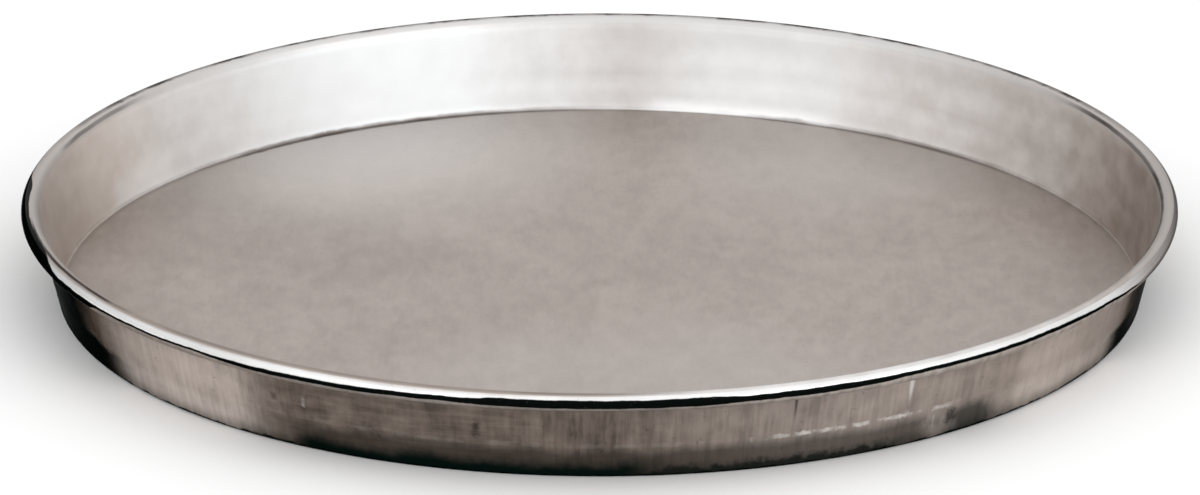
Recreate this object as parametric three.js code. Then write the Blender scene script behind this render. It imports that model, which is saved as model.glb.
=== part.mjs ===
// Round baking tray: one drawn sheet of metal, its edge rolled outwards over a hoop of wire.
// Millimetres, +Z up. The origin is the middle of the base's underside, where the tray stands.

import * as THREE from "three";

// Driving dimensions

const RIM_DIAMETER = 360; // over the outside of the rolled rim
const TRAY_HEIGHT = 30; // from the underside of the base to the top of the rim
const WALL_LEAN = THREE.MathUtils.degToRad(13.8); // how far the wall leans out from upright
const SHEET_THICKNESS = 0.7;
const CORNER_RADIUS = 1.5; // outside of the bend from base to wall
const WIRE_DIAMETER = 3.5;
const WIRE_CLEARANCE = 0.3; // all round the wire, inside the roll
const RAW_EDGE_GAP = 0.3; // from the sheet's tucked-in raw edge to the wall
const WIRE_END_GAP = 1; // between the two butted ends of the wire hoop

// Facet counts

const FACETS_AROUND = 96; // round the tray, for the sheet and the wire alike
const CORNER_STEPS = 4; // along the bend from base to wall
const ROLL_STEPS = 16; // along the rolled rim
const WIRE_SIDES = 12; // round the wire's section, an even number

// The section of the sheet, in radius and height

// The roll lies round the wire, and its outside reaches the rim's diameter and the tray's height.
const rollInside = WIRE_DIAMETER / 2 + WIRE_CLEARANCE;
const rollOutside = rollInside + SHEET_THICKNESS;
const rollCentre = new THREE.Vector2(RIM_DIAMETER / 2 - rollOutside, TRAY_HEIGHT - rollOutside);

// The wall's outer face is one straight line that touches the outside of the corner bend below
// and the inside of the roll above. Its lean then sets where the corner bend is centred.
const wallRise = rollCentre.y - CORNER_RADIUS;
const wallOffset = CORNER_RADIUS + rollInside + wallRise * Math.sin(WALL_LEAN);
const cornerCentre = new THREE.Vector2(rollCentre.x - wallOffset / Math.cos(WALL_LEAN), CORNER_RADIUS);

// The bend turns from the flat base to the wall. The roll starts where the wall touches it, goes
// over the wire and ends below it, where the raw edge comes close to the wall.
const bendStart = -Math.PI / 2;
const bendEnd = -WALL_LEAN;
const rollStart = Math.PI - WALL_LEAN;
const rollEnd = rollStart + Math.acos((rollInside - RAW_EDGE_GAP) / rollOutside);

function arcPoints(centre, radius, from, to, clockwise, steps) {
  const arc = new THREE.EllipseCurve(centre.x, centre.y, radius, radius, from, to, clockwise);
  return arc.getPoints(steps);
}

// From the axis under the base, out and up the outer face, round the inside of the roll to the
// raw edge, back over the outside of the roll, down the inner face and in along the tray's floor.
function sheetSection() {
  const innerBend = CORNER_RADIUS - SHEET_THICKNESS;
  return [
    new THREE.Vector2(0, 0),
    ...arcPoints(cornerCentre, CORNER_RADIUS, bendStart, bendEnd, false, CORNER_STEPS),
    ...arcPoints(rollCentre, rollInside, rollStart, rollEnd, true, ROLL_STEPS),
    ...arcPoints(rollCentre, rollOutside, rollEnd, rollStart, false, ROLL_STEPS),
    ...arcPoints(cornerCentre, innerBend, bendEnd, bendStart, true, CORNER_STEPS),
    new THREE.Vector2(0, SHEET_THICKNESS),
  ];
}

// The wire hoop's centreline, level with the middle of the roll, with its open ends at the back.
class WireHoop extends THREE.Curve {
  getPoint(share, target = new THREE.Vector3()) {
    const openAngle = WIRE_END_GAP / rollCentre.x;
    const angle = (Math.PI + openAngle) / 2 + share * (2 * Math.PI - openAngle);
    const x = rollCentre.x * Math.cos(angle);
    const y = rollCentre.x * Math.sin(angle);
    return target.set(x, y, rollCentre.y);
  }
}

// Finishes

const coatedSheet = new THREE.MeshStandardMaterial({ color: 0xaea69f, roughness: 0.42, metalness: 1 });
const drawnWire = new THREE.MeshStandardMaterial({ color: 0x8f8b86, roughness: 0.5, metalness: 1 });

// Pieces

// Base, corner bend, leaning wall and rolled rim are one sheet, turned about the tray's axis.
function makeTrayShell() {
  const geometry = new THREE.LatheGeometry(sheetSection(), FACETS_AROUND);
  geometry.rotateX(Math.PI / 2);
  const shell = new THREE.Mesh(geometry, coatedSheet);
  shell.name = "tray_shell";
  return shell;
}

// The wire that stiffens the rim: a round bar bent into a hoop inside the roll.
function makeRimWire() {
  const bar = new THREE.Shape().absarc(0, 0, WIRE_DIAMETER / 2, 0, 2 * Math.PI);
  const geometry = new THREE.ExtrudeGeometry(bar, {
    extrudePath: new WireHoop(),
    steps: FACETS_AROUND,
    curveSegments: WIRE_SIDES / 2, // a full circle takes twice its curve segments
  });
  const wire = new THREE.Mesh(geometry, drawnWire);
  wire.name = "rim_wire";
  return wire;
}

const tray = new THREE.Group();
tray.add(makeTrayShell(), makeRimWire());

export default tray;
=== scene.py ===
# Round baking tray: the sheet and its rim wire as fine meshes, their finishes, the light and the camera.
# Metres, +Z up. The origin is the middle of the base's underside. The camera stands on the -Y side.
# An azimuth turns from the camera's side, positive to the right.

import math
from collections import namedtuple

import bpy
import numpy as np
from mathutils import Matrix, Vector


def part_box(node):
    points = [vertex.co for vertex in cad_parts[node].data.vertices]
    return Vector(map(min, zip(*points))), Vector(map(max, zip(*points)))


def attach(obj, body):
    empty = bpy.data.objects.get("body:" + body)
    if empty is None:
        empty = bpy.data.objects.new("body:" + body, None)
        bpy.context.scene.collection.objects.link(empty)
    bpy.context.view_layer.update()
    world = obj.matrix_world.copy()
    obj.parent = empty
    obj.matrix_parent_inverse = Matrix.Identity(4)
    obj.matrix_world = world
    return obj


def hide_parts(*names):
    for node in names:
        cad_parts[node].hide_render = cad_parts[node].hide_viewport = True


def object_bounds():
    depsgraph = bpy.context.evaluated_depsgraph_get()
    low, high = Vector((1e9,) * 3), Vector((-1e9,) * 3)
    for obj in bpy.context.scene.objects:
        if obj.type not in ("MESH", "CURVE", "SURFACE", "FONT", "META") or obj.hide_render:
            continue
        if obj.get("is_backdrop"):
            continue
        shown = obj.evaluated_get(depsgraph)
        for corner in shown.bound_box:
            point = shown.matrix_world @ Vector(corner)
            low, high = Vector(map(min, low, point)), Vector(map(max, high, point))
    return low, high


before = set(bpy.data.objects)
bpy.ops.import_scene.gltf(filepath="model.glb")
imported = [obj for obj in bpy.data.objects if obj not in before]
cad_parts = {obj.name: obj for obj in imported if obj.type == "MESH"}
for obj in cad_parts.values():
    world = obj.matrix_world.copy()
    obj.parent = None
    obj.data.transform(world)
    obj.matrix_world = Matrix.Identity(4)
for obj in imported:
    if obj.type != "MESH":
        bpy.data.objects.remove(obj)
cad_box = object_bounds()

# Sizes of the real tray

shell_low, shell_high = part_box("tray_shell")
RIM_RADIUS = (shell_high.x - shell_low.x) / 2
TRAY_HEIGHT = shell_high.z
WALL_LEAN = math.radians(13.8)
SHEET_THICKNESS = 0.0007
CORNER_RADIUS = 0.0015
WIRE_RADIUS = 0.00175
WIRE_CLEARANCE = 0.0003
RAW_EDGE_GAP = 0.0003
WIRE_END_GAP = 0.001
SHOULDER_END = math.radians(68)  # the roll keeps the wall's finish down to here
UNDER_START = math.radians(-30)  # and turns under the rim from here

HALF_SHEET = SHEET_THICKNESS / 2
ROLL_INSIDE = WIRE_RADIUS + WIRE_CLEARANCE
ROLL_OUTSIDE = ROLL_INSIDE + SHEET_THICKNESS
ROLL_MIDDLE = ROLL_INSIDE + HALF_SHEET
ROLL_CENTRE = Vector((RIM_RADIUS - ROLL_OUTSIDE, TRAY_HEIGHT - ROLL_OUTSIDE))
ROLL_START = math.pi - WALL_LEAN
ROLL_SWEEP = 2 * math.pi - math.acos((ROLL_INSIDE - RAW_EDGE_GAP) / ROLL_OUTSIDE)
WALL_RISE = ROLL_CENTRE.y - CORNER_RADIUS
WALL_RUN = (CORNER_RADIUS + ROLL_INSIDE + WALL_RISE * math.sin(WALL_LEAN)) / math.cos(WALL_LEAN)
CORNER_MIDDLE = CORNER_RADIUS - HALF_SHEET
CORNER_CENTRE = Vector((ROLL_CENTRE.x - WALL_RUN, CORNER_RADIUS))

# Mesh fineness

EVEN_AROUND = 1014
EXTRA_AT_PUCKER = 22
EXTRA_SPREAD = 3.5  # in pucker widths, to either side of its middle
BASE_RINGS = 5
CORNER_STEPS = 6
WALL_STEPS = 12
ROLL_STEPS = 20
EDGE_STEPS = 4
WIRE_AROUND = 360
WIRE_SIDES = 16

# The sheet's section: stations along its middle line, from the axis to the raw edge.
# A station's normal points to the inner face, and its reach is its distance from the axis along the sheet.

Station = namedtuple("Station", "zone point normal reach")


def pointing(angle):
    return Vector((math.cos(angle), math.sin(angle)))


def base_line():
    for step in range(BASE_RINGS):
        yield "base", Vector((CORNER_CENTRE.x * math.sqrt(step / BASE_RINGS), HALF_SHEET)), Vector((0, 1))


def corner_line():
    for step in range(CORNER_STEPS):
        angle = -math.pi / 2 + (math.pi / 2 - WALL_LEAN) * step / CORNER_STEPS
        yield "corner", CORNER_CENTRE + CORNER_MIDDLE * pointing(angle), -pointing(angle)


def wall_line():
    foot = CORNER_CENTRE + CORNER_MIDDLE * pointing(-WALL_LEAN)
    top = ROLL_CENTRE + ROLL_MIDDLE * pointing(ROLL_START)
    for step in range(WALL_STEPS):
        yield "wall", foot.lerp(top, step / WALL_STEPS), pointing(ROLL_START)


def roll_line():
    for step in range(ROLL_STEPS + 1):
        angle = ROLL_START - ROLL_SWEEP * step / ROLL_STEPS
        zone = "shoulder" if angle > SHOULDER_END else "roll" if angle > UNDER_START else "under"
        yield zone, ROLL_CENTRE + ROLL_MIDDLE * pointing(angle), pointing(angle)


def sheet_stations():
    stations = []
    reach = 0
    for zone, point, normal in (*base_line(), *corner_line(), *wall_line(), *roll_line()):
        if stations:
            reach += (point - stations[-1].point).length
        stations.append(Station(zone, point, normal, reach))
    return stations


STATIONS = sheet_stations()


def first_reach(zone):
    return next(station.reach for station in STATIONS if station.zone == zone)


BASE_EDGE = first_reach("corner")
WALL_FOOT = first_reach("wall")
WALL_TOP = first_reach("shoulder")
SHEET_END = STATIONS[-1].reach


def wall_reach(share):
    """The reach of the place this share of the way up the wall."""
    return WALL_FOOT + share * (WALL_TOP - WALL_FOOT)


def bead_reach(angle):
    """The reach of the place on the bead whose outside faces this angle above the horizon, in degrees."""
    return WALL_TOP + (SHEET_END - WALL_TOP) * (ROLL_START - math.radians(angle)) / ROLL_SWEEP


# How the real sheet departs from its true shape: press puckers, dings, waves and a crowned base

Pucker = namedtuple("Pucker", "azimuth width depth length")
Ding = namedtuple("Ding", "azimuth reach size depth")

SHEET_SEED = 31
SEEN_PUCKERS = [
    Pucker(math.radians(-17.6), 0.0006, 0.00018, 0.010),
    Pucker(math.radians(20.0), 0.0005, 0.00015, 0.023),
    Pucker(math.radians(33.0), 0.0007, -0.00024, 0.019),
]
SMALL_PUCKER_COUNT = 70
SMALL_PUCKER_DEPTHS = (0.00001, 0.00005)
SMALL_PUCKER_WIDTHS = (0.0009, 0.0022)
SMALL_PUCKER_LENGTHS = (0.006, 0.018)
PUCKER_RISE = 0.003  # how far a pucker runs on from the top of the wall into the bead
FULL_MARK_DEPTH = 0.00012  # a pucker as deep as this shows its full mark: painted shade in a hollow, painted highlight on a ridge
DING_COUNT = 14
DING_REACHES = (WALL_FOOT + 0.003, WALL_TOP - 0.002)
DING_SIZES = (0.002, 0.005)
DING_DEPTHS = (-0.00009, 0.00009)
WAVE_COUNTS = range(2, 9)  # how many times a wave goes up and down round the tray
OUT_OF_ROUND = 0.00012
OUT_OF_LEVEL = 0.00008
WALL_WAVE_DEPTH = 0.00006
WALL_WAVE_FADE = 0.004  # how much of the sheet next to the raw edge the wall's waves take to fade out
DRAW_RING_REACH = wall_reach(0.37)  # where the press left a ring round the wall
DRAW_RING_DEPTH = 0.00010
DRAW_RING_WIDTH = 0.0009
DRAW_RING_UNEVEN = 0.5  # how much of its depth comes and goes round the tray
DRAW_RING_WANDER = 0.0015
BASE_CROWN = 0.00035
DIMPLE_COUNT = 6
DIMPLE_DEPTH = 0.00006
DIMPLE_RATES = (-60, 60)  # in radians a metre
DIMPLE_PHASES = (0, 6)

chance = np.random.default_rng(SHEET_SEED)


def random_puckers():
    for _ in range(SMALL_PUCKER_COUNT):
        azimuth = chance.uniform(-math.pi, math.pi)
        depth = chance.choice([-1, 1]) * chance.uniform(*SMALL_PUCKER_DEPTHS)
        width = chance.uniform(*SMALL_PUCKER_WIDTHS)
        yield Pucker(azimuth, width, depth, chance.uniform(*SMALL_PUCKER_LENGTHS))


def random_dings():
    for _ in range(DING_COUNT):
        azimuth = chance.uniform(-math.pi, math.pi)
        reach = chance.uniform(*DING_REACHES)
        yield Ding(azimuth, reach, chance.uniform(*DING_SIZES), chance.uniform(*DING_DEPTHS))


def random_wave():
    """Counts, heights and phases of slow waves round the tray, weaker as they get shorter."""
    return [(count, chance.normal() / count, chance.uniform(0, 2 * math.pi)) for count in WAVE_COUNTS]


def random_dimples():
    """Slow ripples across the base, as their rates along X and Y and their phases."""
    for _ in range(DIMPLE_COUNT):
        yield chance.uniform(*DIMPLE_RATES), chance.uniform(*DIMPLE_RATES), chance.uniform(*DIMPLE_PHASES)


PUCKERS = [*SEEN_PUCKERS, *random_puckers()]
DINGS = list(random_dings())
OVAL_WAVE = random_wave()
RISE_WAVE = random_wave()
WALL_WAVE = random_wave()
RING_WAVE = random_wave()
DIMPLES = list(random_dimples())


def wave(terms, azimuth):
    return sum(height * np.cos(count * azimuth + phase) for count, height, phase in terms)


def bell(distance, width):
    return np.exp(-0.5 * (distance / width) ** 2)


def ease(share):
    share = np.clip(share, 0, 1)
    return share * share * (3 - 2 * share)


def arc_between(azimuth, middle):
    """The distance round the rim from one azimuth to another."""
    return RIM_RADIUS * ((azimuth - middle + math.pi) % (2 * math.pi) - math.pi)


def base_shift(reach, azimuth):
    """The base's share of the sheet's shift: a crown with slow ripples, level again at the corner."""
    in_base = max(0, 1 - (reach / BASE_EDGE) ** 2)
    shift = np.full_like(azimuth, BASE_CROWN * in_base)
    for along_x, along_y, phase in DIMPLES:
        ripple = np.cos(reach * (along_x * np.sin(azimuth) + along_y * np.cos(azimuth)) + phase)
        shift += DIMPLE_DEPTH * in_base * (1 + ripple) / 2
    return shift


def pucker_shift(reach, azimuth):
    """The puckers' share of the sheet's shift: they start at the rim and fade out down the wall."""
    shift = np.zeros_like(azimuth)
    for pucker in PUCKERS:
        fade = ease(1 - (WALL_TOP - reach) / pucker.length) * ease(1 - (reach - WALL_TOP) / PUCKER_RISE)
        shift += pucker.depth * fade * bell(arc_between(azimuth, pucker.azimuth), pucker.width)
    return shift


def sheet_shift(reach, azimuth):
    """How far the sheet lies off its true middle line, in metres towards its inner face."""
    shift = base_shift(reach, azimuth)
    on_wall = ease((reach - BASE_EDGE) / (WALL_TOP - BASE_EDGE)) * ease((SHEET_END - reach) / WALL_WAVE_FADE)
    shift += WALL_WAVE_DEPTH * on_wall * wave(WALL_WAVE, azimuth)
    ring_depth = DRAW_RING_DEPTH * (1 + DRAW_RING_UNEVEN * wave(RING_WAVE, azimuth))
    off_ring = reach - DRAW_RING_REACH - DRAW_RING_WANDER * wave(OVAL_WAVE, azimuth)
    shift -= ring_depth * bell(off_ring, DRAW_RING_WIDTH)
    shift += pucker_shift(reach, azimuth)
    for ding in DINGS:
        near = bell(reach - ding.reach, ding.size)
        shift += ding.depth * near * bell(arc_between(azimuth, ding.azimuth), ding.size)
    return shift


def rim_drift(height, azimuth):
    """How far the sheet at this height runs out of round and out of level, most at the rim."""
    share = (height / TRAY_HEIGHT) ** 2
    return OUT_OF_ROUND * share * wave(OVAL_WAVE, azimuth), OUT_OF_LEVEL * share * wave(RISE_WAVE, azimuth)


# Meshes

Row = namedtuple("Row", "zone face point normal reach")


def around_axis(radius, azimuth, height):
    return radius * np.sin(azimuth), -radius * np.cos(azimuth), height


def face_row(station, face, offset):
    return Row(station.zone, face, station.point + offset * station.normal, station.normal, station.reach)


def tray_rows():
    """Rows of the closed section: out along the inner face, round the raw edge, back along the outer face."""
    rows = [face_row(station, "inner", HALF_SHEET) for station in STATIONS]
    end = STATIONS[-1]
    onwards = Vector((end.normal.y, -end.normal.x))
    for step in range(1, EDGE_STEPS):
        turn = math.pi * step / EDGE_STEPS
        round_edge = end.point + HALF_SHEET * (math.cos(turn) * end.normal + math.sin(turn) * onwards)
        rows.append(Row("edge", "edge", round_edge, end.normal, end.reach))
    rows += [face_row(station, "outer", -HALF_SHEET) for station in reversed(STATIONS)]
    return rows


def row_ring(row, azimuth):
    """The row's points round the tray, with the real sheet's departures."""
    shift = sheet_shift(row.reach, azimuth)
    outwards, upwards = rim_drift(row.point.y, azimuth)
    radius = row.point.x + shift * row.normal.x + outwards
    height = row.point.y + shift * row.normal.y + upwards
    return np.stack(around_axis(radius, azimuth, height), axis=1)


FINISH_OF = {
    ("base", "inner"): "tray_floor",
    ("corner", "inner"): "wall_inside",
    ("wall", "inner"): "wall_inside",
    ("shoulder", "inner"): "wall_inside",
    ("roll", "inner"): "rim_bead",
    ("under", "inner"): "bead_under",
    ("edge", "edge"): "raw_edge",
    ("under", "outer"): "raw_edge",
    ("roll", "outer"): "raw_edge",
    ("shoulder", "outer"): "raw_edge",
    ("wall", "outer"): "wall_outside",
    ("corner", "outer"): "wall_outside",
    ("base", "outer"): "underside",
}
FINISHES = list(dict.fromkeys(FINISH_OF.values()))


def make_object(name, verts, faces):
    mesh = bpy.data.meshes.new(name)
    mesh.from_pydata(verts, [], faces)
    mesh.shade_smooth()
    made = bpy.data.objects.new(name, mesh)
    bpy.context.scene.collection.objects.link(made)
    return made


def store_values(mesh, name, values):
    """One number for each vertex, for the finishes to read."""
    mesh.attributes.new(name, "FLOAT", "POINT").data.foreach_set("value", values)


def tray_azimuths():
    """Even steps round the tray, with extra ones across each pucker that shows."""
    azimuths = [np.arange(EVEN_AROUND) * 2 * math.pi / EVEN_AROUND]
    for pucker in SEEN_PUCKERS:
        spread = EXTRA_SPREAD * pucker.width / RIM_RADIUS
        azimuths.append(pucker.azimuth % (2 * math.pi) + np.linspace(-spread, spread, EXTRA_AT_PUCKER))
    return np.sort(np.concatenate(azimuths))


def tray_faces(rows, around):
    """The faces from row to row, and each one's finish as a number. One point on the axis closes each end."""
    last = len(rows) - 1
    top, bottom = 0, 1 + (last - 1) * around

    def at(row, step):
        return 1 + (row - 1) * around + step % around

    faces, finishes = [], []
    for row in range(last):
        nearer_axis = rows[row + 1] if rows[row].face == "outer" else rows[row]
        finish = FINISHES.index(FINISH_OF[nearer_axis.zone, nearer_axis.face])
        for step in range(around):
            if row == 0:
                faces.append((top, at(1, step), at(1, step + 1)))
            elif row == last - 1:
                faces.append((at(row, step), bottom, at(row, step + 1)))
            else:
                faces.append((at(row, step), at(row + 1, step), at(row + 1, step + 1), at(row, step + 1)))
            finishes.append(finish)
    return faces, finishes


def make_tray(materials):
    rows = tray_rows()
    azimuth = tray_azimuths()
    rings = [row_ring(row, azimuth) for row in rows]
    verts = [rings[0][0], *np.concatenate(rings[1:-1]), rings[-1][0]]
    reaches = [np.full_like(azimuth, row.reach) for row in rows[1:-1]]
    marks = [pucker_shift(row.reach, azimuth) / FULL_MARK_DEPTH for row in rows[1:-1]]
    faces, finishes = tray_faces(rows, len(azimuth))
    tray = make_object("drawn_tray", verts, faces)
    tray.data.polygons.foreach_set("material_index", finishes)
    store_values(tray.data, "reach", [0, *np.concatenate(reaches), 0])
    store_values(tray.data, "pucker", [0, *np.concatenate(marks), 0])
    for finish in FINISHES:
        tray.data.materials.append(materials[finish])
    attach(tray, "root")
    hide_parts("tray_shell")


def make_wire(material):
    """The hoop of wire inside the bead. Its two flat cut ends nearly meet at the back."""
    open_angle = WIRE_END_GAP / ROLL_CENTRE.x
    azimuths = math.pi + open_angle / 2 + np.linspace(0, 2 * math.pi - open_angle, WIRE_AROUND + 1)
    turns = np.arange(WIRE_SIDES) * 2 * math.pi / WIRE_SIDES
    verts = []
    for azimuth in azimuths:
        outwards, upwards = rim_drift(ROLL_CENTRE.y, azimuth)
        for turn in turns:
            radius = ROLL_CENTRE.x + outwards + WIRE_RADIUS * math.cos(turn)
            height = ROLL_CENTRE.y + upwards + WIRE_RADIUS * math.sin(turn)
            verts.append(around_axis(radius, azimuth, height))
    faces = [tuple(range(WIRE_SIDES))]
    for ring in range(WIRE_AROUND):
        here, there = ring * WIRE_SIDES, (ring + 1) * WIRE_SIDES
        for side in range(WIRE_SIDES):
            across = (side + 1) % WIRE_SIDES
            faces.append((here + side, there + side, there + across, here + across))
    last = WIRE_AROUND * WIRE_SIDES
    faces.append(tuple(last + side for side in reversed(range(WIRE_SIDES))))
    wire = make_object("wire_hoop", verts, faces)
    wire.data.materials.append(material)
    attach(wire, "root")
    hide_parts("rim_wire")


# Helpers for shader trees

def add_node(tree, kind, sockets=(), **settings):
    """A new node with its settings, its input sockets set to the given values or linked to them."""
    made = tree.nodes.new(kind)
    for name, value in settings.items():
        setattr(made, name, value)
    for name, value in dict(sockets).items():
        if isinstance(value, bpy.types.NodeSocket):
            tree.links.new(value, made.inputs[name])
        else:
            made.inputs[name].default_value = value
    return made


def calculate(tree, operation, *values):
    return add_node(tree, "ShaderNodeMath", enumerate(values), operation=operation).outputs[0]


def vectors(tree, operation, *values):
    return add_node(tree, "ShaderNodeVectorMath", enumerate(values), operation=operation).outputs[0]


def dot_product(tree, first, second):
    made = add_node(tree, "ShaderNodeVectorMath", {0: first, 1: second}, operation="DOT_PRODUCT")
    return made.outputs["Value"]


def slope(tree, value, start, full):
    """0 at the start, 1 where it is full, and a smooth rise between them."""
    sockets = {"Value": value, "From Min": start, "From Max": full}
    return add_node(tree, "ShaderNodeMapRange", sockets, interpolation_type="SMOOTHSTEP").outputs[0]


def between(tree, value, low, high):
    """A share from 0 to 1 as a value from low to high."""
    return calculate(tree, "MULTIPLY_ADD", value, high - low, low)


def blend(tree, share, first, second):
    """The first value where the share is 0, the second where it is 1."""
    return calculate(tree, "MULTIPLY_ADD", share, calculate(tree, "SUBTRACT", second, first), first)


def balance(tree, *pairs):
    """A half, plus each value's departure from a half times its weight."""
    total = 0.5 - sum(weight for value, weight in pairs) / 2
    for value, weight in pairs:
        total = calculate(tree, "MULTIPLY_ADD", value, weight, total)
    return total


def pile(tree, *pairs):
    """The sum of each value times its height in metres."""
    total = 0
    for value, height in pairs:
        total = calculate(tree, "MULTIPLY_ADD", value, height, total)
    return total


def weaken(tree, mask, strength=1):
    return mask if strength == 1 else calculate(tree, "MULTIPLY", mask, strength)


def overlap(tree, first, second):
    """Where both masks show."""
    return calculate(tree, "MULTIPLY", first, second)


def either(tree, *masks):
    """Where any of the masks shows."""
    shown = masks[0]
    for mask in masks[1:]:
        shown = calculate(tree, "MAXIMUM", shown, mask)
    return shown


def tint(tree, share, first, second):
    mix = add_node(tree, "ShaderNodeMix", data_type="RGBA")
    for socket, value in ((mix.inputs[0], share), (mix.inputs[6], first), (mix.inputs[7], second)):
        if isinstance(value, bpy.types.NodeSocket):
            tree.links.new(value, socket)
        else:
            socket.default_value = (*value, 1)
    return mix.outputs[2]


def stains(tree, colour, *layers):
    """The colour under layers of stain, each given as its mask, its colour and, if not 1, its strength."""
    for mask, stain_colour, *strength in layers:
        colour = tint(tree, weaken(tree, mask, *strength), colour, stain_colour)
    return colour


def noise(tree, place, detail=2, roughness=0.5):
    sockets = {"Vector": place, "Scale": 1, "Detail": detail, "Roughness": roughness}
    return add_node(tree, "ShaderNodeTexNoise", sockets).outputs[0]


def mesh_value(tree, name):
    return add_node(tree, "ShaderNodeAttribute", attribute_name=name).outputs["Fac"]


def object_place(tree):
    return tree.nodes.new("ShaderNodeTexCoord").outputs["Object"]


def outward_way(tree):
    """The level direction from the tray's axis to this place."""
    return vectors(tree, "NORMALIZE", vectors(tree, "MULTIPLY", object_place(tree), (1, 1, 0)))


def drum_place(tree):
    """The place carried out level onto a drum as wide as the rim, so that marks run straight up the wall."""
    around = vectors(tree, "MULTIPLY", outward_way(tree), (RIM_RADIUS, RIM_RADIUS, 0))
    return vectors(tree, "ADD", around, vectors(tree, "MULTIPLY", object_place(tree), (0, 0, 1)))


def in_sizes(tree, place, x, y, z):
    """The place, counted in these sizes along X, Y and Z."""
    sizes = add_node(tree, "ShaderNodeCombineXYZ", {0: x, 1: y, 2: z}).outputs[0]
    return vectors(tree, "DIVIDE", place, sizes)


def in_size(tree, place, size):
    return in_sizes(tree, place, size, size, size)


# Effects that several finishes share, each a node group

# Where noise, which keeps near a half, starts to show in an effect and where it shows in full
CLOUD_NOISE = (0.3, 0.7)
SPECK_NOISE = (0.68, 0.80)
GRAIN_NOISE = (0.25, 0.75)
GAP_NOISE = (0.6, 0.4)
BREAK_NOISE = (0.5, 0.62)

CLOUD_STRETCH = 1.7  # a cloud's length along the rolling over its width
LINE_CORE = 0.4  # the share of a line's width that shows in full
GAP_SIZE = 3  # a line's gaps, in the size of its ragged edge
SCRATCH_HALF_WIDTH = 0.006  # in noise, to either side of a half
BREAK_LENGTH = 0.05
BREAK_WIDTH = 0.008
COSINE_MARGIN = 0.99999  # keeps rounding from taking a cosine past 1


def begin_group(name, inputs, outputs):
    tree = bpy.data.node_groups.new(name, "ShaderNodeTree")
    for label, value in inputs.items():
        socket = tree.interface.new_socket(label, in_out="INPUT", socket_type="NodeSocketFloat")
        socket.default_value = value
    for label in outputs:
        tree.interface.new_socket(label, in_out="OUTPUT", socket_type="NodeSocketFloat")
    return tree, tree.nodes.new("NodeGroupInput").outputs, tree.nodes.new("NodeGroupOutput").inputs


def place_group(tree, group, **values):
    sockets = {name.replace("_", " ").title(): value for name, value in values.items()}
    return add_node(tree, "ShaderNodeGroup", sockets, node_tree=group).outputs


def fine_lines(tree, place):
    return slope(tree, noise(tree, place, detail=3, roughness=0.6), *GRAIN_NOISE)


def roughen(tree, value, place, given):
    """The value, moved to and fro by noise, so that a mask made from it has a ragged edge."""
    rags = noise(tree, in_size(tree, place, given["Rag Size"]), detail=4, roughness=0.6)
    rag = calculate(tree, "MULTIPLY", calculate(tree, "SUBTRACT", rags, 0.5), given["Ragged"])
    return calculate(tree, "ADD", value, rag)


def make_mottle():
    """Soft clouds and small specks in the sheet's coating, longer along Y, the way the sheet was rolled."""
    tree, given, result = begin_group("mottle", {"Cloud Size": 0.03, "Speck Size": 0.001}, ["Cloud", "Speck"])
    place = object_place(tree)
    length = calculate(tree, "MULTIPLY", given["Cloud Size"], CLOUD_STRETCH)
    soft = noise(tree, in_sizes(tree, place, given["Cloud Size"], length, given["Cloud Size"]), detail=4)
    fine = noise(tree, in_size(tree, place, given["Speck Size"]), detail=1)
    tree.links.new(slope(tree, soft, *CLOUD_NOISE), result["Cloud"])
    tree.links.new(slope(tree, fine, *SPECK_NOISE), result["Speck"])
    return tree


def make_rolling_grain():
    """Fine lines along Y, from the rolling of the flat sheet."""
    tree, given, result = begin_group("rolling_grain", {"Spacing": 0.001, "Length": 0.03}, ["Grain"])
    place = in_sizes(tree, object_place(tree), given["Spacing"], given["Length"], given["Spacing"])
    tree.links.new(fine_lines(tree, place), result["Grain"])
    return tree


def make_draw_marks():
    """Marks that the press left in the wall: upright where they are tall, level where they are wide."""
    tree, given, result = begin_group("draw_marks", {"Width": 0.001, "Height": 0.02}, ["Mark"])
    place = in_sizes(tree, drum_place(tree), given["Width"], given["Width"], given["Height"])
    tree.links.new(fine_lines(tree, place), result["Mark"])
    return tree


def make_ring_stain():
    """A stain that follows the tray round, from its start to where it is full along the sheet."""
    inputs = {"Start": 0.1, "Full": 0.11, "Ragged": 0.001, "Rag Size": 0.01}
    tree, given, result = begin_group("ring_stain", inputs, ["Mask"])
    reach = roughen(tree, mesh_value(tree, "reach"), object_place(tree), given)
    tree.links.new(slope(tree, reach, given["Start"], given["Full"]), result["Mask"])
    return tree


def make_ring_line():
    """A thin line that follows the tray round at one reach, faded and broken in places."""
    inputs = {"Middle": 0.1, "Half Width": 0.001, "Ragged": 0.001, "Gaps": 0.5, "Rag Size": 0.01}
    tree, given, result = begin_group("ring_line", inputs, ["Mask"])
    place = drum_place(tree)
    reach = roughen(tree, mesh_value(tree, "reach"), place, given)
    off_line = calculate(tree, "ABSOLUTE", calculate(tree, "SUBTRACT", reach, given["Middle"]))
    core = calculate(tree, "MULTIPLY", given["Half Width"], LINE_CORE)
    line = slope(tree, off_line, given["Half Width"], core)
    gap_size = calculate(tree, "MULTIPLY", given["Rag Size"], GAP_SIZE)
    gaps = slope(tree, noise(tree, in_size(tree, place, gap_size), detail=3), *GAP_NOISE)
    shown = calculate(tree, "SUBTRACT", 1, calculate(tree, "MULTIPLY", gaps, given["Gaps"]))
    tree.links.new(overlap(tree, line, shown), result["Mask"])
    return tree


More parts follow.
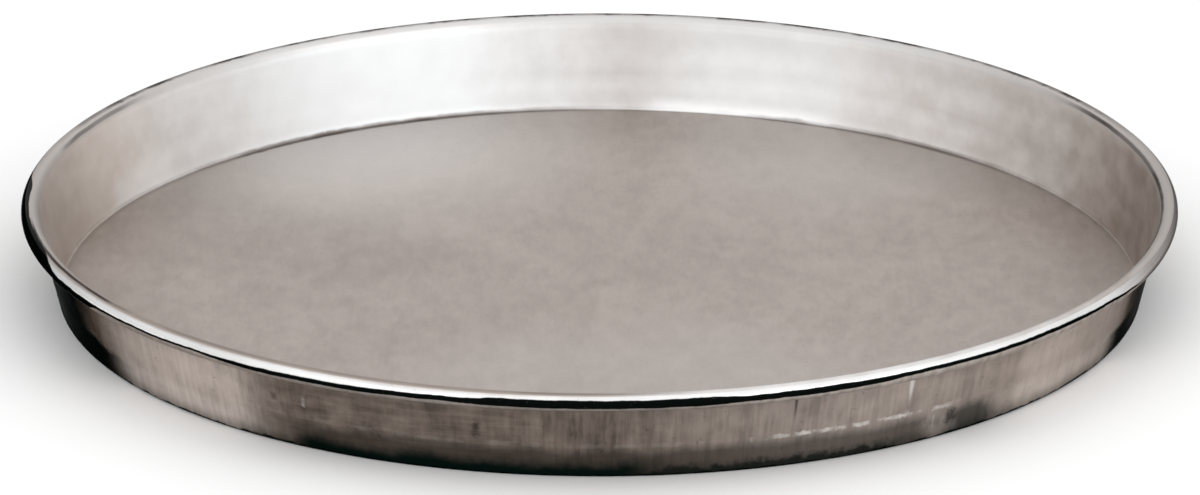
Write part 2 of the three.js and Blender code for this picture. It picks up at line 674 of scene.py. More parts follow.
def make_side_patch():
    """A patch about one azimuth, full to one angle from its middle and gone by another, in radians."""
    inputs = {"Azimuth": 0, "Full To": 0.1, "Gone By": 0.3, "Ragged": 0.1, "Rag Size": 0.02}
    tree, given, result = begin_group("side_patch", inputs, ["Mask"])
    sine = calculate(tree, "SINE", given["Azimuth"])
    cosine = calculate(tree, "MULTIPLY", calculate(tree, "COSINE", given["Azimuth"]), -1)
    middle = add_node(tree, "ShaderNodeCombineXYZ", {0: sine, 1: cosine}).outputs[0]
    nearness = calculate(tree, "MULTIPLY", dot_product(tree, outward_way(tree), middle), COSINE_MARGIN)
    apart = roughen(tree, calculate(tree, "ARCCOSINE", nearness), object_place(tree), given)
    tree.links.new(slope(tree, apart, given["Gone By"], given["Full To"]), result["Mask"])
    return tree


def make_scratches():
    """Thin broken scratches on a level face, in one direction."""
    inputs = {"Turn": 0, "Spacing": 0.02, "Length": 0.9}
    tree, given, result = begin_group("scratches", inputs, ["Scratch"])
    sockets = {"Vector": object_place(tree), "Angle": given["Turn"]}
    turned = add_node(tree, "ShaderNodeVectorRotate", sockets, rotation_type="Z_AXIS").outputs[0]
    lines = noise(tree, in_sizes(tree, turned, given["Length"], given["Spacing"], given["Spacing"]), detail=2)
    off_line = calculate(tree, "ABSOLUTE", calculate(tree, "SUBTRACT", lines, 0.5))
    breaks = noise(tree, in_sizes(tree, turned, BREAK_LENGTH, BREAK_WIDTH, BREAK_WIDTH), detail=1)
    scratch = overlap(tree, slope(tree, off_line, SCRATCH_HALF_WIDTH, 0), slope(tree, breaks, *BREAK_NOISE))
    tree.links.new(scratch, result["Scratch"])
    return tree


MOTTLE = make_mottle()
ROLLING_GRAIN = make_rolling_grain()
DRAW_MARKS = make_draw_marks()
RING_STAIN = make_ring_stain()
RING_LINE = make_ring_line()
SIDE_PATCH = make_side_patch()
SCRATCHES = make_scratches()


def mottle(tree, cloud_size, speck_size):
    made = place_group(tree, MOTTLE, cloud_size=cloud_size, speck_size=speck_size)
    return made["Cloud"], made["Speck"]


def clouds(tree, size):
    return place_group(tree, MOTTLE, cloud_size=size)["Cloud"]


def rolling_grain(tree, spacing, length):
    return place_group(tree, ROLLING_GRAIN, spacing=spacing, length=length)["Grain"]


def draw_marks(tree, width, height):
    return place_group(tree, DRAW_MARKS, width=width, height=height)["Mark"]


def ring_stain(tree, start, full, ragged=0.001, rag_size=0.01):
    return place_group(tree, RING_STAIN, start=start, full=full, ragged=ragged, rag_size=rag_size)["Mask"]


def ring_line(tree, middle, half_width, ragged, gaps, rag_size):
    return place_group(tree, RING_LINE, middle=middle, half_width=half_width, ragged=ragged, gaps=gaps,
                       rag_size=rag_size)["Mask"]


def side_patch(tree, azimuth, full_to, gone_by, ragged=6, rag_size=0.02, strength=1):
    """The mask of a side patch, with its angles in degrees."""
    mask = place_group(tree, SIDE_PATCH, azimuth=math.radians(azimuth), full_to=math.radians(full_to),
                       gone_by=math.radians(gone_by), ragged=math.radians(ragged), rag_size=rag_size)["Mask"]
    return weaken(tree, mask, strength)


def scratches(tree, turn, spacing):
    return place_group(tree, SCRATCHES, turn=turn, spacing=spacing)["Scratch"]


# Finishes

# The sheet is one metal, yet its faces get different tones: the wall's inside light, the floor darker and the
# outside darkest. These are painted light and painted shade for what each face mirrors; the outside's dark is
# partly oven browning too.
BLACK_GREASE_AND_SHADE = (0.003, 0.0045, 0.004)
# Green-black: painted shade at the outside's ends, and grease with painted shade at its foot.
GREEN_BLACK = (0.004, 0.0115, 0.0095)
BROWN_DIRT_AND_SHADE = (0.13, 0.105, 0.09)
FRONT_SHADE = (0.41, 0.34, 0.298)  # painted shade on the front of the bead's crown and of the wall's inside shoulder


def begin_metal(name, edge_tint=1.0):
    """A metal and its tree. The edge tint is how much of its shine is left at a glancing angle."""
    made = bpy.data.materials.new(name)
    made.use_nodes = True
    shader = made.node_tree.nodes["Principled BSDF"]
    shader.inputs["Metallic"].default_value = 1
    shader.inputs["Specular Tint"].default_value = (edge_tint, edge_tint, edge_tint, 1)
    return made, made.node_tree


def dress(made, colour, roughness, height):
    tree = made.node_tree
    bump = add_node(tree, "ShaderNodeBump", {"Strength": 1, "Distance": 1, "Height": height})
    inputs = tree.nodes["Principled BSDF"].inputs
    tree.links.new(colour, inputs["Base Color"])
    tree.links.new(roughness, inputs["Roughness"])
    tree.links.new(bump.outputs[0], inputs["Normal"])
    return made


def corner_dark_line(tree):
    """A dark line in the corner between floor and wall, thick in two places at the back."""
    line = ring_line(tree, BASE_EDGE + 0.0002, half_width=0.0021, ragged=0.0014, gaps=0.35, rag_size=0.008)
    thick = either(tree, side_patch(tree, -154, 14, 24), side_patch(tree, 149, 9, 19, strength=0.6))
    return overlap(tree, line, between(tree, thick, 0.15, 0.9))


# The tray's floor

FLOOR_DARK = (0.34, 0.290, 0.264)
FLOOR_LIGHT = (0.50, 0.440, 0.408)
FLOOR_PAINTED_LIGHT = (0.62, 0.585, 0.56)
FLOOR_SCRATCH = (0.6, 0.57, 0.54)


def floor_patch(tree, azimuth, full_to, gone_by, strength=1):
    return side_patch(tree, azimuth, full_to, gone_by, ragged=20, rag_size=0.05, strength=strength)


def make_tray_floor():
    made, tree = begin_metal("tray_floor", edge_tint=0.9)
    cloud, speck = mottle(tree, 0.05, 0.0014)
    grain = rolling_grain(tree, spacing=0.0012, length=0.006)
    flecks = rolling_grain(tree, spacing=0.003, length=0.010)
    scratch = either(tree, scratches(tree, 0.5, spacing=0.02), scratches(tree, -0.9, spacing=0.03))
    tone = balance(tree, (cloud, 0.2), (clouds(tree, 0.02), 0.14), (clouds(tree, 0.007), 0.22), (flecks, 0.2),
                   (grain, 0.2))
    # Painted light and shade on the floor: lighter patches at the back and near the middle at the front, and
    # darker towards the edge, least at the back. A faint darker patch lies left of the middle.
    outer = ring_stain(tree, 0.05, 0.16, ragged=0.05, rag_size=0.05)
    inner = ring_stain(tree, 0.02, 0.07, ragged=0.03, rag_size=0.05)
    back = either(tree, floor_patch(tree, -150, 2, 42), floor_patch(tree, 145, 5, 30, strength=0.5))
    front = floor_patch(tree, 6, 24, 60, strength=0.32)
    edge = ring_stain(tree, 0.12, BASE_EDGE, ragged=0.04, rag_size=0.04)
    edge = overlap(tree, edge, between(tree, side_patch(tree, -175, 68, 92), 0.22, 0.04))
    left = overlap(tree, inner, floor_patch(tree, -110, 10, 26, strength=0.13))
    colour = stains(
        tree, tint(tree, tone, FLOOR_DARK, FLOOR_LIGHT),
        (either(tree, overlap(tree, outer, back), overlap(tree, inner, front)), FLOOR_PAINTED_LIGHT, 0.75),
        (either(tree, edge, left), BROWN_DIRT_AND_SHADE),
        (corner_dark_line(tree), BROWN_DIRT_AND_SHADE),
        (speck, BROWN_DIRT_AND_SHADE, 0.2),
        (scratch, FLOOR_SCRATCH, 0.05),
    )
    roughness = between(tree, balance(tree, (cloud, 0.6), (grain, 0.4)), 0.42, 0.52)
    height = pile(tree, (grain, 0.000003), (scratch, -0.000002), (speck, 0.000004))
    return dress(made, colour, roughness, height)


# The black band on the bead's outside, painted shade with some baked grease: the usual angles of its top and
# foot, and where they bend to other angles. All are in degrees.

Bend = namedtuple("Bend", "azimuth full_to gone_by angle")

BLACK_BAND_TOP = 20
BLACK_BAND_TOP_BENDS = [
    Bend(1, 10, 16, 34),
    Bend(37, 16, 25, 30),
    Bend(-42, 14, 24, 12),
    Bend(-84, 9, 16, 84),
    Bend(-110, 8, 26, 45),
    Bend(102, 20, 42, -80),
]
BLACK_BAND_FOOT = -14
BLACK_BAND_FOOT_BENDS = [
    Bend(0, 10, 15, -25),
    Bend(46, 12, 24, 4),
    Bend(-30, 6, 11, -20),
    Bend(-50, 6, 14, -4),
    Bend(-85, 22, 26, -75),
]
BLACK_BAND_EDGE = 0.0003


def below_line(tree, usual, bends):
    """The part of the bead past a line along it, which lies at the usual angle apart from its bends."""
    level = bead_reach(usual)
    for bend in bends:
        side = side_patch(tree, bend.azimuth, bend.full_to, bend.gone_by, ragged=3)
        level = calculate(tree, "MULTIPLY_ADD", side, bead_reach(bend.angle) - bead_reach(usual), level)
    return ring_stain(tree, level, calculate(tree, "ADD", level, BLACK_BAND_EDGE), ragged=0.0008, rag_size=0.008)


# The inside of the wall, with the bead's inner shoulder

INSIDE_DARK = (0.68, 0.65, 0.63)
INSIDE_LIGHT = (0.85, 0.837, 0.828)
INSIDE_HIGHLIGHT = (0.905, 0.935, 0.955)
INSIDE_SHADE = (0.55, 0.52, 0.50)
FOOT_HIGHLIGHT = (0.97, 0.97, 0.97)
ENDS_SHADE_DARK = (0.36, 0.295, 0.255)
ENDS_SHADE_LIGHT = (0.47, 0.40, 0.358)
INSIDE_WARM_SHADE = (0.74, 0.61, 0.52)
INSIDE_SPOT = (0.93, 0.92, 0.91)
SHOULDER_SHADE = (0.50, 0.465, 0.445)
SHOULDER_BACK_SHADE = (0.64, 0.625, 0.615)
CORNER_BEND_SHADE = (0.27, 0.228, 0.205)
SHOULDER_SHADE_LINE = (0.06, 0.05, 0.045)


def shoulder_lines(tree):
    """Painted shade lines: along the crown at the left front and the back, and at both ends where bead meets
    wall.
    """
    crown = ring_line(tree, bead_reach(82), half_width=0.0007, ragged=0.0004, gaps=0.5, rag_size=0.012)
    outline = ring_line(tree, bead_reach(80), half_width=0.0016, ragged=0.0010, gaps=0.5, rag_size=0.004)
    joint = ring_line(tree, bead_reach(142), half_width=0.0008, ragged=0.0006, gaps=0.3, rag_size=0.012)
    left_front = either(tree, side_patch(tree, -28, 28, 40, ragged=10, strength=0.4),
                        side_patch(tree, -68, 12, 17, ragged=3))
    back = side_patch(tree, 180, 56, 75, ragged=10)
    ends = either(tree, side_patch(tree, -115, 5, 11, ragged=4, strength=0.6),
                  side_patch(tree, 93, 22, 34, strength=0.95))
    return either(tree, overlap(tree, crown, left_front), overlap(tree, outline, back),
                  overlap(tree, joint, ends))


def inside_light_and_shade(tree, blots):
    """The wall's broad patches of painted light and shade: painted highlights at the back and along its foot
    at the back right, painted shade high at the back right and in the middle of the back, painted shade at
    both ends with a warmer patch on the left, and a small light spot low on the left back.
    """
    bright_reflection = either(tree, side_patch(tree, -155, 6, 30, ragged=14, strength=0.75),
                     side_patch(tree, 162, 4, 16, ragged=8, strength=0.5))
    high = ring_stain(tree, WALL_TOP - 0.011, WALL_TOP - 0.004, ragged=0.004)
    foot = ring_stain(tree, WALL_FOOT + 0.0045, WALL_FOOT + 0.001, ragged=0.002)
    ends = either(tree, side_patch(tree, -88, 5, 42, ragged=23, strength=0.5),
                  side_patch(tree, 90, 12, 60, ragged=23, strength=0.9))
    low = ring_stain(tree, WALL_FOOT + 0.012, WALL_FOOT + 0.003, ragged=0.006)
    return [
        (bright_reflection, INSIDE_HIGHLIGHT),
        (overlap(tree, high, side_patch(tree, 152, 16, 36)), INSIDE_SHADE, 0.3),
        (side_patch(tree, 177, 1, 6, ragged=3), INSIDE_SHADE, 0.25),
        (overlap(tree, foot, side_patch(tree, 164, 7, 13)), FOOT_HIGHLIGHT),
        (ends, tint(tree, blots, ENDS_SHADE_DARK, ENDS_SHADE_LIGHT)),
        (side_patch(tree, -105, 10, 24), INSIDE_WARM_SHADE, 0.4),
        (overlap(tree, low, side_patch(tree, -121, 2, 9)), INSIDE_SPOT, 0.6),
    ]


def inside_shade_and_grease(tree):
    """Painted shade on the shoulder, on its front and in the corner bend, a dark corner line, painted shade
    lines along the shoulder, and the black band over the bead, painted shade with some grease.
    """
    # The shoulder painted darker, as painted shade, least on the right front.
    shoulder = ring_stain(tree, bead_reach(200), bead_reach(142), ragged=0.0006)
    shaded_shoulder = calculate(tree, "SUBTRACT", shoulder, side_patch(tree, 32, 26, 42))
    front = overlap(tree, side_patch(tree, -33, 30, 44, ragged=10), between(tree, shoulder, 0.3, 0.8))
    # The corner bend painted darker, as painted shade, mostly left off at the back right.
    bend = ring_stain(tree, WALL_FOOT + 0.001, BASE_EDGE - 0.0005, ragged=0.002, rag_size=0.02)
    bend_shade_shown = between(tree, side_patch(tree, 166, 10, 19), 0.88, 0.08)
    return [
        (shaded_shoulder, tint(tree, side_patch(tree, 180, 30, 65), SHOULDER_SHADE, SHOULDER_BACK_SHADE), 0.85),
        (front, FRONT_SHADE),
        (overlap(tree, bend, bend_shade_shown), CORNER_BEND_SHADE),
        (corner_dark_line(tree), BROWN_DIRT_AND_SHADE),
        (shoulder_lines(tree), SHOULDER_SHADE_LINE),
        (below_line(tree, BLACK_BAND_TOP, BLACK_BAND_TOP_BENDS), BLACK_GREASE_AND_SHADE),
    ]


def make_wall_inside():
    made, tree = begin_metal("wall_inside", edge_tint=0.6)
    broad, blots = clouds(tree, 0.02), clouds(tree, 0.007)
    upright = draw_marks(tree, width=0.0018, height=0.03)
    level = draw_marks(tree, width=0.05, height=0.0015)
    tone = balance(tree, (broad, 0.32), (blots, 0.42), (upright, 0.1), (level, 0.06))
    clean = tint(tree, tone, INSIDE_DARK, INSIDE_LIGHT)
    colour = stains(tree, clean, *inside_light_and_shade(tree, blots), *inside_shade_and_grease(tree))
    roughness = between(tree, balance(tree, (broad, 0.6), (upright, 0.3)), 0.34, 0.46)
    height = pile(tree, (upright, 0.000004), (level, 0.000002), (broad, 0.00002))
    return dress(made, colour, roughness, height)


# The bead, and the sheet's raw edge under it

BEAD_DARK = (0.76, 0.755, 0.75)
BEAD_LIGHT = (0.90, 0.90, 0.90)
BEAD_ENDS_SHADE = (0.50, 0.46, 0.44)
BELOW_BAND_SHADE_DARK = (0.20, 0.17, 0.152)
BELOW_BAND_SHADE_LIGHT = (0.62, 0.555, 0.515)


def make_rim_bead(name, edge_tint):
    made, tree = begin_metal(name, edge_tint)
    cloud, speck = mottle(tree, 0.02, 0.001)
    level = draw_marks(tree, width=0.02, height=0.0004)
    tone = balance(tree, (cloud, 0.5), (level, 0.4))
    # Painted shade: the bead darker at both ends and on its crown at the left front.
    ends = either(tree, side_patch(tree, 90, 18, 32), side_patch(tree, -104, 20, 30, strength=0.7))
    crown = ring_stain(tree, bead_reach(36), bead_reach(64))
    # The black band: painted shade with some grease.
    grease_and_shade = below_line(tree, BLACK_BAND_TOP, BLACK_BAND_TOP_BENDS)
    # Past the black band's foot the bead is painted darker, as painted shade, and lighter towards the lit
    # right front.
    streaks = between(tree, draw_marks(tree, width=0.003, height=0.02), 0.35, 0.75)
    lit = between(tree, side_patch(tree, 45, 20, 45), 0.6, 1)
    below_band_shade = tint(tree, overlap(tree, streaks, lit), BELOW_BAND_SHADE_DARK, BELOW_BAND_SHADE_LIGHT)
    colour = stains(
        tree, tint(tree, tone, BEAD_DARK, BEAD_LIGHT),
        (ends, BEAD_ENDS_SHADE, 0.8),
        (overlap(tree, crown, side_patch(tree, -38, 28, 42)), FRONT_SHADE, 0.55),
        (grease_and_shade, BLACK_GREASE_AND_SHADE),
        (below_line(tree, BLACK_BAND_FOOT, BLACK_BAND_FOOT_BENDS), below_band_shade),
        (speck, BROWN_DIRT_AND_SHADE, 0.2),
    )
    roughness = calculate(tree, "MULTIPLY_ADD", grease_and_shade, 0.3, between(tree, tone, 0.16, 0.26))
    height = pile(tree, (level, 0.000002), (speck, -0.000004), (grease_and_shade, 0.00001))
    return dress(made, colour, roughness, height)


def make_raw_edge():
    made, tree = begin_metal("raw_edge", edge_tint=0.3)
    cloud, speck = mottle(tree, 0.004, 0.0005)
    tone = balance(tree, (cloud, 0.8), (speck, 0.4))
    colour = tint(tree, tone, BLACK_GREASE_AND_SHADE, BROWN_DIRT_AND_SHADE)
    return dress(made, colour, between(tree, tone, 0.5, 0.7), pile(tree, (cloud, 0.00002)))


# The outside of the wall

# Dark, partly oven browning and partly painted shade for the shaded floor that the wall mirrors.
OUTSIDE_DARK = (0.095, 0.076, 0.064)
OUTSIDE_LIGHT = (0.245, 0.200, 0.170)
SIDE_REFLECTION_ABOVE = (0.66, 0.575, 0.525)  # painted reflection above the draw ring, of the lit floor beside the tray
SIDE_REFLECTION_BELOW = (0.80, 0.72, 0.67)
UNDER_RIM_SHADE_AND_DIRT = (0.09, 0.072, 0.062)
BELOW_RING_SHADE = (0.06, 0.048, 0.04)
RING_HIGHLIGHT = (0.85, 0.81, 0.78)
DARK_MARK_AND_SHADE = (0.02, 0.014, 0.012)
PAINTED_HIGHLIGHT = (0.8, 0.77, 0.75)

# Both ends are painted black: painted shade for the dark floor that the wall mirrors there at a glancing
# angle. Each black end spreads less above the draw ring than below it, in degrees.
ShadedEnd = namedtuple("ShadedEnd", "azimuth above below")
SHADED_ENDS = [ShadedEnd(-84, 20, 27), ShadedEnd(85, 15, 20.5)]
SHADED_END_SOFT = math.radians(6)
SHADED_END_RAGGED = 0.12
SHADED_END_BACK = 124  # the azimuth about which a black end breaks off towards the back

# Small marks: azimuth and half width in degrees, share of the wall's height, half height in metres
Spot = namedtuple("Spot", "azimuth half_width share half_height")
DARK_SPOTS = [
    Spot(-12.6, 0.8, 0.52, 0.0034),
    Spot(-35, 0.6, 0.56, 0.0018),
    Spot(-23, 0.5, 0.31, 0.0012),
    Spot(38.8, 1.0, 0.22, 0.0038),
]
# The light spots are painted highlights.
HIGHLIGHT_SPOTS = [
    Spot(-31.4, 0.4, 0.57, 0.0022),
    Spot(32.8, 0.4, 0.38, 0.0018),
    Spot(15.5, 0.35, 0.36, 0.0012),
    Spot(36.5, 0.35, 0.22, 0.0035),
    Spot(14.4, 0.25, 0.10, 0.0026),
]
SPOT_CORE = 0.1  # the share of a spot's half width that shows in full
SPOT_RAG_SIZE = 0.002

# How deep a pucker is, over its full mark's depth, where its mark starts to show and where it is full:
# painted shade where it is hollow, painted highlight where it stands out
HOLLOW_SHADE = (0.25, 1.1)
RIDGE_HIGHLIGHT = (-0.25, -1.2)


# One end's painted shade, broken off towards the back.
def shaded_end(tree, dark_end, below_ring):
    edge = between(tree, below_ring, math.radians(dark_end.above), math.radians(dark_end.below))
    full = calculate(tree, "SUBTRACT", edge, SHADED_END_SOFT)
    shaded = place_group(tree, SIDE_PATCH, azimuth=math.radians(dark_end.azimuth), full_to=full, gone_by=edge,
                        ragged=SHADED_END_RAGGED)["Mask"]
    back = side_patch(tree, math.copysign(SHADED_END_BACK, dark_end.azimuth), 22, 36, ragged=26, rag_size=0.014)
    return overlap(tree, shaded, calculate(tree, "SUBTRACT", 1, back))


def outside_painted_shade(tree, below_ring):
    """Painted shade in green-black: both ends, where the wall mirrors dark floor at a glancing angle, and one
    small dark blot below the draw ring on the right.
    """
    blot = side_patch(tree, 41.5, 1, 4.8, ragged=5, rag_size=0.008, strength=0.8)
    ends = [shaded_end(tree, dark_end, below_ring) for dark_end in SHADED_ENDS]
    return weaken(tree, either(tree, *ends, overlap(tree, blot, below_ring)), 0.95)


def foot_grease_and_shade(tree):
    """Black at the foot of the wall, grease with painted shade where the wall meets the floor: thin all
    round, thicker at the front and most on its left.
    """
    thin = ring_stain(tree, WALL_FOOT + 0.0008, WALL_FOOT - 0.0006, ragged=0.003, rag_size=0.006)
    thick = ring_stain(tree, WALL_FOOT + 0.0062, WALL_FOOT + 0.001, ragged=0.006, rag_size=0.008)
    faint = ring_stain(tree, WALL_FOOT + 0.0045, WALL_FOOT, ragged=0.003, rag_size=0.012)
    low = ring_stain(tree, WALL_FOOT + 0.0036, WALL_FOOT + 0.0004, ragged=0.008, rag_size=0.004)
    left = overlap(tree, thick, side_patch(tree, -14, 16, 23))
    right = overlap(tree, low, side_patch(tree, 16, 12, 20, strength=0.85))
    return either(tree, thin, weaken(tree, faint, 0.38), left, right)


def wall_spot(tree, spot):
    side = side_patch(tree, spot.azimuth, SPOT_CORE * spot.half_width, spot.half_width,
                      ragged=spot.half_width, rag_size=SPOT_RAG_SIZE)
    band = ring_line(tree, wall_reach(spot.share), spot.half_height, ragged=2 * spot.half_height, gaps=0,
                     rag_size=SPOT_RAG_SIZE)
    return overlap(tree, side, band)


def outside_streaks(tree):
    """Upright press marks, smoothed where a hand holds the right and wiped level left of the middle."""
    upright = draw_marks(tree, width=0.0018, height=0.016)
    upright = blend(tree, side_patch(tree, 59, 12, 20, strength=0.55), upright, 0.5)
    level = draw_marks(tree, width=0.02, height=0.0016)
    return blend(tree, side_patch(tree, -21, 9, 18, strength=0.7), upright, level)


def small_marks(tree):
    """Small dark spots and painted highlight spots, and the puckers: painted shade where they are hollow on
    the outside, painted highlight where they stand out.
    """
    pucker = mesh_value(tree, "pucker")
    dark = [wall_spot(tree, spot) for spot in DARK_SPOTS]
    light = [wall_spot(tree, spot) for spot in HIGHLIGHT_SPOTS]
    return [
        (either(tree, *dark, slope(tree, pucker, *HOLLOW_SHADE)), DARK_MARK_AND_SHADE, 0.75),
        (either(tree, *light, slope(tree, pucker, *RIDGE_HIGHLIGHT)), PAINTED_HIGHLIGHT, 0.6),
    ]


def make_wall_outside():
    made, tree = begin_metal("wall_outside", edge_tint=0.15)
    cloud, speck = mottle(tree, 0.018, 0.0016)
    streaks = outside_streaks(tree)
    broad = draw_marks(tree, width=0.006, height=0.04)
    tone = balance(tree, (cloud, 0.4), (clouds(tree, 0.006), 0.4), (streaks, 0.62), (broad, 0.35))
    below_ring = ring_stain(tree, DRAW_RING_REACH + 0.0005, DRAW_RING_REACH - 0.004, ragged=0.006,
                            rag_size=0.012)
    # Painted reflection: lighter patches at both sides and on the right, where the wall mirrors the lit floor
    # beside the tray, lighter still below the draw ring.
    side_reflections = either(tree, side_patch(tree, -49, 7, 16), side_patch(tree, 58.5, 8, 15),
                   side_patch(tree, 40, 12, 42, ragged=12, strength=0.5))
    side_reflection = overlap(tree, side_reflections, between(tree, tone, 0.66, 0.92))
    # Painted shade below the draw ring at the front, where the wall mirrors the tray's shadow on the floor.
    front = either(tree, side_patch(tree, -7, 21, 31, ragged=10, strength=0.78),
                   side_patch(tree, 23, 11, 15, rag_size=0.007, strength=0.74))
    # A painted highlight along the draw ring on the right.
    ring = ring_line(tree, DRAW_RING_REACH, half_width=0.0010, ragged=0.0022, gaps=1, rag_size=0.002)
    ring_highlit = between(tree, side_patch(tree, 28, 6, 13, ragged=8), 0.06, 0.7)
    grease_and_shade = either(tree, foot_grease_and_shade(tree), weaken(tree, speck, 0.25))
    colour = stains(
        tree, tint(tree, tone, OUTSIDE_DARK, OUTSIDE_LIGHT),
        (side_reflection, tint(tree, below_ring, SIDE_REFLECTION_ABOVE, SIDE_REFLECTION_BELOW)),
        # Painted shade and dirt just under the rim.
        (ring_stain(tree, WALL_TOP - 0.012, WALL_TOP, ragged=0.003), UNDER_RIM_SHADE_AND_DIRT, 0.32),
        (overlap(tree, front, below_ring), BELOW_RING_SHADE),
        (overlap(tree, ring, ring_highlit), RING_HIGHLIGHT),
        (outside_painted_shade(tree, below_ring), GREEN_BLACK),
        *small_marks(tree),
        (grease_and_shade, GREEN_BLACK),
    )
    roughness = calculate(tree, "MULTIPLY_ADD", grease_and_shade, 0.15, between(tree, tone, 0.45, 0.35))
    return dress(made, colour, roughness, pile(tree, (streaks, 0.000009), (speck, 0.00001)))


# The underside of the base

UNDERSIDE_DARK = (0.105, 0.088, 0.078)
UNDERSIDE_LIGHT = (0.225, 0.194, 0.176)
UNDERSIDE_EDGE = (0.05, 0.04, 0.035)
SCRATCHED_STEEL = (0.5, 0.47, 0.44)
UNDERSIDE_SCRATCHES = [(0.2, 0.013), (1.3, 0.017), (2.2, 0.015), (-0.6, 0.02)]  # turn, spacing


def make_underside():
    made, tree = begin_metal("underside", edge_tint=0.4)
    cloud, speck = mottle(tree, 0.035, 0.0014)
    grain = rolling_grain(tree, spacing=0.0011, length=0.03)
    scratch = either(tree, *[scratches(tree, turn, spacing) for turn, spacing in UNDERSIDE_SCRATCHES])
    tone = balance(tree, (cloud, 0.55), (clouds(tree, 0.01), 0.35), (grain, 0.25))
    colour = stains(
        tree, tint(tree, tone, UNDERSIDE_DARK, UNDERSIDE_LIGHT),
        (ring_stain(tree, BASE_EDGE - 0.03, BASE_EDGE, ragged=0.03, rag_size=0.03), UNDERSIDE_EDGE, 0.7),
        (scratch, SCRATCHED_STEEL, 0.25),
        (speck, BLACK_GREASE_AND_SHADE, 0.5),
    )
    height = pile(tree, (grain, 0.000004), (scratch, -0.000006), (speck, 0.00001))
    return dress(made, colour, between(tree, tone, 0.55, 0.42), height)


# The wire

WIRE_DARK = (0.20, 0.185, 0.175)
WIRE_LIGHT = (0.36, 0.345, 0.33)
WIRE_RUST = (0.16, 0.07, 0.03)


def make_wire_steel():
    made, tree = begin_metal("wire_steel")
    cloud, speck = mottle(tree, 0.005, 0.0006)
    drawn = draw_marks(tree, width=0.02, height=0.0002)
    tone = balance(tree, (cloud, 0.5), (drawn, 0.5))
    colour = stains(tree, tint(tree, tone, WIRE_DARK, WIRE_LIGHT), (speck, WIRE_RUST, 0.6))
    height = pile(tree, (drawn, 0.000003), (speck, 0.000005))
    return dress(made, colour, between(tree, tone, 0.4, 0.55), height)


SHEET_FINISHES = {
    "tray_floor": make_tray_floor(),
    "wall_inside": make_wall_inside(),
    "rim_bead": make_rim_bead("rim_bead", 0.1),
    "bead_under": make_rim_bead("bead_under", 0.7),
    "raw_edge": make_raw_edge(),
    "wall_outside": make_wall_outside(),
    "underside": make_underside(),
}
make_tray(SHEET_FINISHES)
make_wire(make_wire_steel())

# Studio floor, light and camera

STUDIO_RADIUS = 6
STUDIO_SIDES = 96
STUDIO_WHITE = (0.95, 0.95, 0.95)
DOME_DARK = (0.78, 0.78, 0.78)
DOME_BRIGHT = (1.15, 1.15, 1.15)
DOME_BRIGHT_WAY = (0.2, -0.8, 0.57)  # to the camera's side, high and a little to the right
DOME_DARK_TO = -0.6  # how near the bright way, as a cosine, the dome starts to brighten
DOME_BRIGHT_FROM = 0.8

# Soft panels that face the tray, with their angles in degrees. A brightness of 1 looks white in a mirror.
Softbox = namedtuple("Softbox", "name azimuth elevation width height brightness")
SOFTBOXES = [
    Softbox("front_right_softbox", 45, 26, 1.6, 0.9, 0.8),
    Softbox("front_left_softbox", -42, 24, 0.9, 0.7, 0.7),
    Softbox("back_softbox", 180, 35, 2.0, 0.9, 0.35),
]
SOFTBOX_DISTANCE = 2

CAMERA_DISTANCE = 4.93
CAMERA_ELEVATION = math.radians(19.65)
PHOTO_SIZE = (1200, 495)
FOCAL_LENGTH = 15825  # in pixels of the photograph
AXIS_PIXEL = (599.6, 242.8)  # where the middle of the tray's axis lies in the photograph


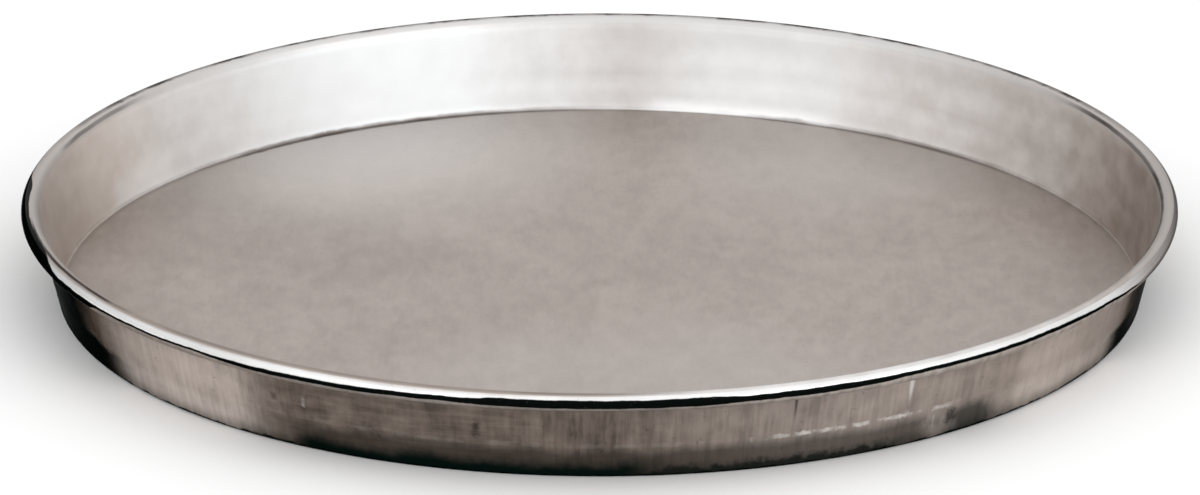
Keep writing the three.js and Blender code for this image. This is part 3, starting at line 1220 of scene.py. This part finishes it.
def make_floor():
    turns = np.arange(STUDIO_SIDES) * 2 * math.pi / STUDIO_SIDES
    ring = [(STUDIO_RADIUS * math.cos(turn), STUDIO_RADIUS * math.sin(turn), 0) for turn in turns]
    floor = make_object("floor", ring, [tuple(range(STUDIO_SIDES))])
    paint = bpy.data.materials.new("pale_floor")
    paint.use_nodes = True
    shader = paint.node_tree.nodes["Principled BSDF"]
    shader.inputs["Base Color"].default_value = (*STUDIO_WHITE, 1)
    shader.inputs["Roughness"].default_value = 1
    shader.inputs["Specular IOR Level"].default_value = 0
    floor.data.materials.append(paint)
    floor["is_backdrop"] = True


def light_dome():
    world = bpy.data.worlds.new("studio")
    world.use_nodes = True
    tree = world.node_tree
    place = tree.nodes.new("ShaderNodeTexCoord").outputs["Generated"]
    bright = slope(tree, dot_product(tree, place, DOME_BRIGHT_WAY), DOME_DARK_TO, DOME_BRIGHT_FROM)
    tree.links.new(tint(tree, bright, DOME_DARK, DOME_BRIGHT), tree.nodes["Background"].inputs["Color"])
    bpy.context.scene.world = world


def add_softbox(softbox):
    lamp = bpy.data.lights.new(softbox.name, "AREA")
    lamp.shape = "RECTANGLE"
    lamp.size, lamp.size_y = softbox.width, softbox.height
    lamp.energy = softbox.brightness * math.pi * softbox.width * softbox.height
    rise = math.radians(softbox.elevation)
    away = Vector(around_axis(math.cos(rise), math.radians(softbox.azimuth), math.sin(rise)))
    panel = bpy.data.objects.new(softbox.name, lamp)
    panel.location = SOFTBOX_DISTANCE * away
    panel.rotation_euler = away.to_track_quat("Z", "Y").to_euler()
    panel.visible_camera = False
    bpy.context.scene.collection.objects.link(panel)


def place_camera():
    lens = bpy.data.cameras.new("camera")
    lens.sensor_fit = "HORIZONTAL"
    lens.lens = FOCAL_LENGTH / PHOTO_SIZE[0] * lens.sensor_width
    camera = bpy.data.objects.new("camera", lens)
    towards = Vector((0, -math.cos(CAMERA_ELEVATION), math.sin(CAMERA_ELEVATION)))
    middle = Vector((0, 0, TRAY_HEIGHT / 2))
    camera.location = middle + CAMERA_DISTANCE * towards
    right = Vector((1, 0, 0))
    up = towards.cross(right)
    pixel = CAMERA_DISTANCE / FOCAL_LENGTH
    right_of_axis = PHOTO_SIZE[0] / 2 - AXIS_PIXEL[0]
    above_axis = AXIS_PIXEL[1] - PHOTO_SIZE[1] / 2
    aim = middle + pixel * (right_of_axis * right + above_axis * up)
    camera.rotation_euler = (camera.location - aim).to_track_quat("Z", "Y").to_euler()
    bpy.context.scene.collection.objects.link(camera)
    bpy.context.scene.camera = camera


make_floor()
light_dome()
for softbox in SOFTBOXES:
    add_softbox(softbox)
place_camera()
bpy.context.scene.view_settings.view_transform = "Standard"

boxes = {"cad": cad_box, "visual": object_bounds()}
{name: [list(corner) for corner in box] for name, box in boxes.items()}
